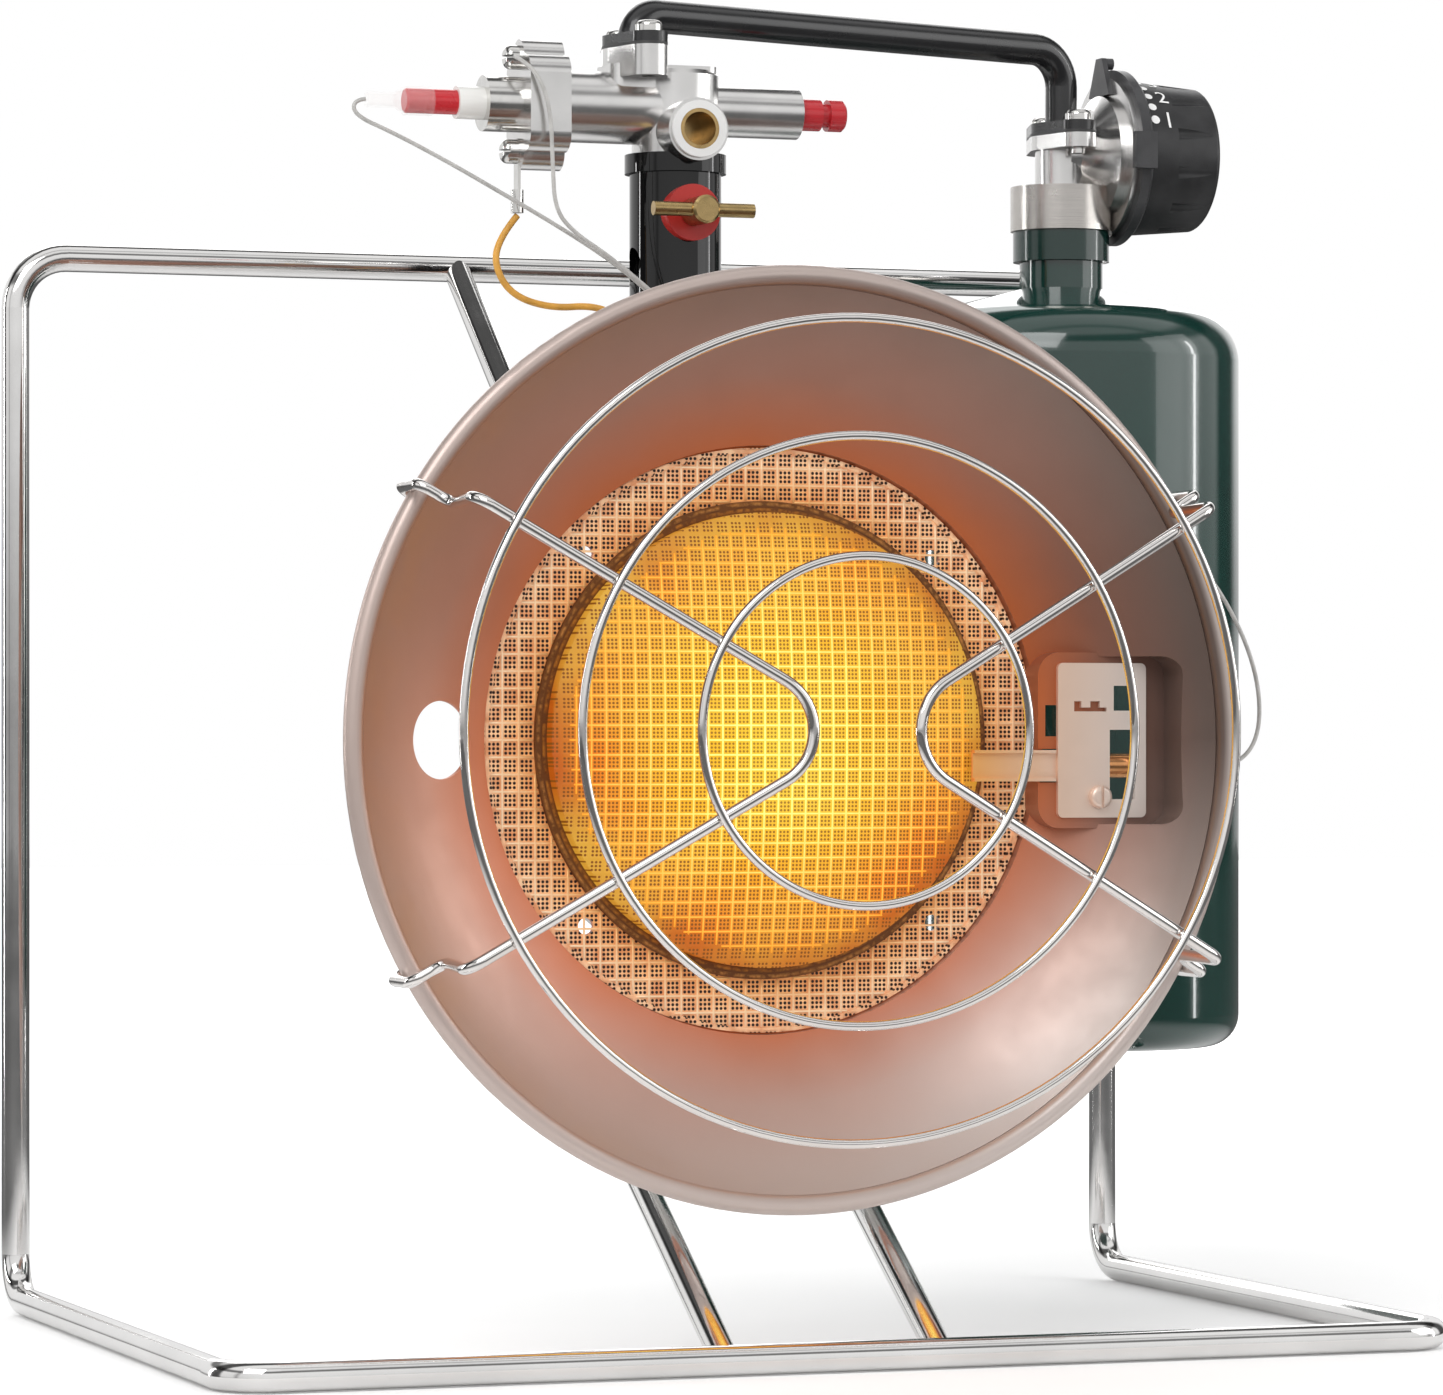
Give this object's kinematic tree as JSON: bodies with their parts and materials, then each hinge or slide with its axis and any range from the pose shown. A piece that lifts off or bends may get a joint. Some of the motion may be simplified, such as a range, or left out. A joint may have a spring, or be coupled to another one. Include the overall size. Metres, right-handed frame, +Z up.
{
  "type": "portable propane heater",
  "caption": "Portable radiant gas heater: dished reflector with a wire guard on a bent-rod stand, safety valve, regulator with a knob, and a small gas cylinder.",
  "frame": {"origin": "on the floor under the middle of the whole heater", "axes": "+Z up, -Y the way the heater radiates, +X to the right seen from the front"},
  "size_m": [0.333, 0.2517, 0.3502],
  "materials": {
    "bright_rod": "bright drawn rod",
    "plated_steel": "zinc plated",
    "reflector_sheet": "satin sheet with warm reflections",
    "burner_mesh": "woven wire that glows in use",
    "hot_steel": "heat tinted",
    "plate_steel": "satin",
    "copper": "copper tube",
    "die_cast": "blasted casting",
    "brass_part": "turned",
    "white_ceramic": "glazed",
    "red_plastic": "moulded",
    "red_fibre": "pressed fibre",
    "white_plastic": "moulded",
    "clear_sleeve": "clear tubing",
    "black_pipe": "satin black",
    "gasket": "pressed sheet",
    "dark_metal": "satin dark",
    "black_plastic": "moulded",
    "green_paint": "glossy dark green",
    "neck_steel": "machined",
    "thin_wire": "sleeved lead",
    "orange_wire": "sleeved lead"
  },
  "bodies": {
    "heater": {"brace_rod_left": "bright_rod", "brace_rod_right": "bright_rod", "bracket_screws": "plated_steel", "burner_cup": "plated_steel", "burner_screen": "reflector_sheet", "button_spring": "plated_steel", "clear_sleeve": "clear_sleeve", "dial_bezel": "dark_metal", "dial_clips": "plated_steel", "dial_pointer": "dark_metal", "dome_ring": "hot_steel", "earth_lead": "orange_wire", "electrode_strip": "plate_steel", "end_cap_screws": "plated_steel", "end_collar": "plated_steel", "flange_screws_regulator": "plated_steel", "flange_screws_valve": "plated_steel", "gas_jet": "brass_part", "gas_pipe": "black_pipe", "guard_ring_inner": "bright_rod", "guard_ring_middle": "bright_rod", "guard_ring_outer": "bright_rod", "guard_wire_left": "bright_rod", "guard_wire_right": "bright_rod", "head_bracket": "plated_steel", "igniter_boot": "red_plastic", "igniter_lead": "thin_wire", "inlet_collar": "brass_part", "inlet_seal": "gasket", "insulator": "white_ceramic", "lead_terminal": "plated_steel", "mesh_dome": "burner_mesh", "mixer_tube": "black_pipe", "pipe_flange_regulator": "black_pipe", "pipe_flange_valve": "black_pipe", "pipe_gasket_regulator": "gasket", "pipe_gasket_valve": "gasket", "port_insert": "brass_part", "port_ring": "white_plastic", "reflector": "reflector_sheet", "regulator_body": "die_cast", "sensor_lead": "thin_wire", "sensor_plate": "plate_steel", "sensor_plate_screw": "plated_steel", "sensor_tip": "copper", "stand_rod": "bright_rod", "tube_collar": "black_pipe", "valve_body": "die_cast", "valve_end_cap": "die_cast", "wing_washer": "red_fibre"},
    "knob": {"control_knob": "black_plastic", "knob_shaft": "plated_steel"},
    "button": {"push_button": "red_plastic"},
    "wing": {"wing_screw": "brass_part"},
    "cylinder": {"cylinder_shell": "green_paint", "cylinder_neck": "neck_steel", "cylinder_valve": "brass_part"}
  },
  "joints": [
    {"name": "knob_turn", "type": "hinge", "parent": "heater", "child": "knob", "pos_m": [0.13575, 0.05796, 0.3167], "axis": [1, 0, 0], "range_deg": [0, 270]},
    {"name": "button_press", "type": "slide", "parent": "heater", "child": "button", "axis": [-1, 0, 0], "range_m": [0, 0.005], "stiffness_N_per_m": 400, "springref_m": -0.003, "deforming": ["button_spring"]},
    {"name": "wing_turn", "type": "hinge", "parent": "heater", "child": "wing", "pos_m": [-0.00975, -0.00264, 0.293], "axis": [0, -1, 0], "continuous": true},
    {"name": "cylinder_turn", "type": "hinge", "parent": "heater", "child": "cylinder", "pos_m": [0.11755, 0.05796, 0.2958], "axis": [0, 0, -1], "continuous": true}
  ]
}
